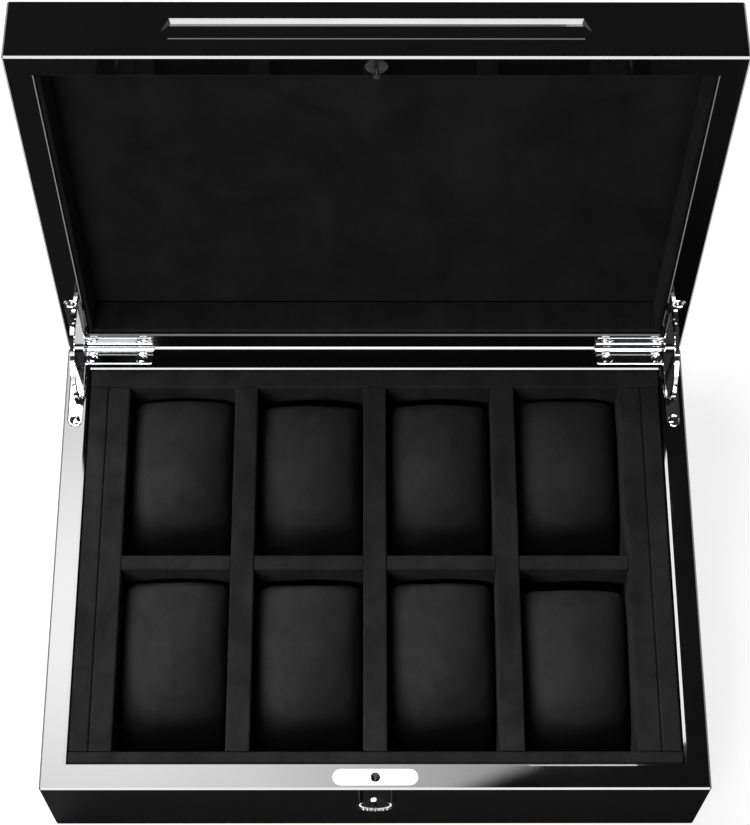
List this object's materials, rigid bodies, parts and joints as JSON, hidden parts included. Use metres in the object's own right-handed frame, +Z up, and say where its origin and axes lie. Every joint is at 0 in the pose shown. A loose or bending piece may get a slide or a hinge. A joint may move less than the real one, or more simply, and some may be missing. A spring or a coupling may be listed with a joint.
{
  "type": "watch box",
  "caption": "Black lacquered watch box with a velvet tray of compartments, loose watch pillows, a hinged lid on curved stays and a front lock.",
  "frame": {"origin": "middle of the underside, on the face that the box stands on", "axes": "+X to the right as seen from the front, +Y to the back, where the hinges are, +Z up"},
  "size_m": [0.34, 0.3069, 0.3193],
  "materials": {
    "lacquer": "black piano lacquer, high gloss",
    "velvet": "black velvet over board",
    "pillow_velvet": "black velvet over foam",
    "felt": "black felt",
    "chrome": "polished",
    "steel": "plain"
  },
  "bodies": {
    "base": {"base_front_wall": "lacquer", "base_back_wall": "lacquer", "base_left_wall": "lacquer", "base_right_wall": "lacquer", "base_floor": "lacquer", "base_felt": "felt", "front_lining": "velvet", "back_lining": "velvet", "left_lining": "velvet", "right_lining": "velvet", "tray_floor_board": "velvet", "tray_left_end": "velvet", "tray_right_end": "velvet", "tray_divider_1": "velvet", "tray_divider_2": "velvet", "tray_divider_3": "velvet", "cross_divider_1": "velvet", "cross_divider_2": "velvet", "cross_divider_3": "velvet", "cross_divider_4": "velvet", "left_hinge_base_leaf": "chrome", "right_hinge_base_leaf": "chrome", "lock_plate": "chrome", "lock_front_plate": "chrome", "left_hinge_pin": "steel", "right_hinge_pin": "steel", "left_hinge_base_screws": "chrome", "right_hinge_base_screws": "chrome", "lock_rivets": "chrome", "lock_case": "steel"},
    "lid": {"lid_front_wall": "lacquer", "lid_back_wall": "lacquer", "lid_left_wall": "lacquer", "lid_right_wall": "lacquer", "lid_top_board": "lacquer", "lid_front_lining": "velvet", "lid_back_lining": "velvet", "lid_left_lining": "velvet", "lid_right_lining": "velvet", "lid_panel": "velvet", "left_hinge_lid_leaf": "chrome", "right_hinge_lid_leaf": "chrome", "catch_stud": "chrome", "left_hinge_lid_screws": "chrome", "right_hinge_lid_screws": "chrome"},
    "left_stay": {"left_stay_arm": "chrome"},
    "right_stay": {"right_stay_arm": "chrome"},
    "key_plug": {"lock_plug": "chrome"},
    "bolt": {"lock_bolt": "steel"},
    "pillow_back_1": {"pillow_back_1": "pillow_velvet"},
    "pillow_back_2": {"pillow_back_2": "pillow_velvet"},
    "pillow_back_3": {"pillow_back_3": "pillow_velvet"},
    "pillow_back_4": {"pillow_back_4": "pillow_velvet"},
    "pillow_front_1": {"pillow_front_1": "pillow_velvet"},
    "pillow_front_2": {"pillow_front_2": "pillow_velvet"},
    "pillow_front_3": {"pillow_front_3": "pillow_velvet"},
    "pillow_front_4": {"pillow_front_4": "pillow_velvet"}
  },
  "joints": [
    {"name": "lid_hinge", "type": "hinge", "parent": "base", "child": "lid", "pos_m": [0, 0.125, 0.0702], "axis": [-1, 0, 0], "range_deg": [-94.5, 0]},
    {"name": "left_stay_turn", "type": "hinge", "parent": "base", "child": "left_stay", "pos_m": [0, 0.125, 0.0702], "axis": [-1, 0, 0], "range_deg": [-47.25, 0]},
    {"name": "right_stay_turn", "type": "hinge", "parent": "base", "child": "right_stay", "pos_m": [0, 0.125, 0.0702], "axis": [-1, 0, 0], "range_deg": [-47.25, 0]},
    {"name": "key_turn", "type": "hinge", "parent": "base", "child": "key_plug", "pos_m": [0, -0.125, 0.051], "axis": [0, 1, 0], "range_deg": [0, 90]},
    {"name": "bolt_slide", "type": "slide", "parent": "base", "child": "bolt", "axis": [1, 0, 0], "range_m": [-0.00424, 0]},
    {"name": "pillow_back_1_lift", "type": "slide", "parent": "base", "child": "pillow_back_1", "axis": [0, 0, 1], "range_m": [0, 0.075]},
    {"name": "pillow_back_2_lift", "type": "slide", "parent": "base", "child": "pillow_back_2", "axis": [0, 0, 1], "range_m": [0, 0.075]},
    {"name": "pillow_back_3_lift", "type": "slide", "parent": "base", "child": "pillow_back_3", "axis": [0, 0, 1], "range_m": [0, 0.075]},
    {"name": "pillow_back_4_lift", "type": "slide", "parent": "base", "child": "pillow_back_4", "axis": [0, 0, 1], "range_m": [0, 0.075]},
    {"name": "pillow_front_1_lift", "type": "slide", "parent": "base", "child": "pillow_front_1", "axis": [0, 0, 1], "range_m": [0, 0.075]},
    {"name": "pillow_front_2_lift", "type": "slide", "parent": "base", "child": "pillow_front_2", "axis": [0, 0, 1], "range_m": [0, 0.075]},
    {"name": "pillow_front_3_lift", "type": "slide", "parent": "base", "child": "pillow_front_3", "axis": [0, 0, 1], "range_m": [0, 0.075]},
    {"name": "pillow_front_4_lift", "type": "slide", "parent": "base", "child": "pillow_front_4", "axis": [0, 0, 1], "range_m": [0, 0.075]}
  ],
  "couplings": [
    {"joint": "left_stay_turn", "follows": "lid_hinge", "ratio": 0.5},
    {"joint": "right_stay_turn", "follows": "lid_hinge", "ratio": 0.5},
    {"joint": "key_turn", "follows": "bolt_slide", "rad_per_m": -370.24}
  ]
}
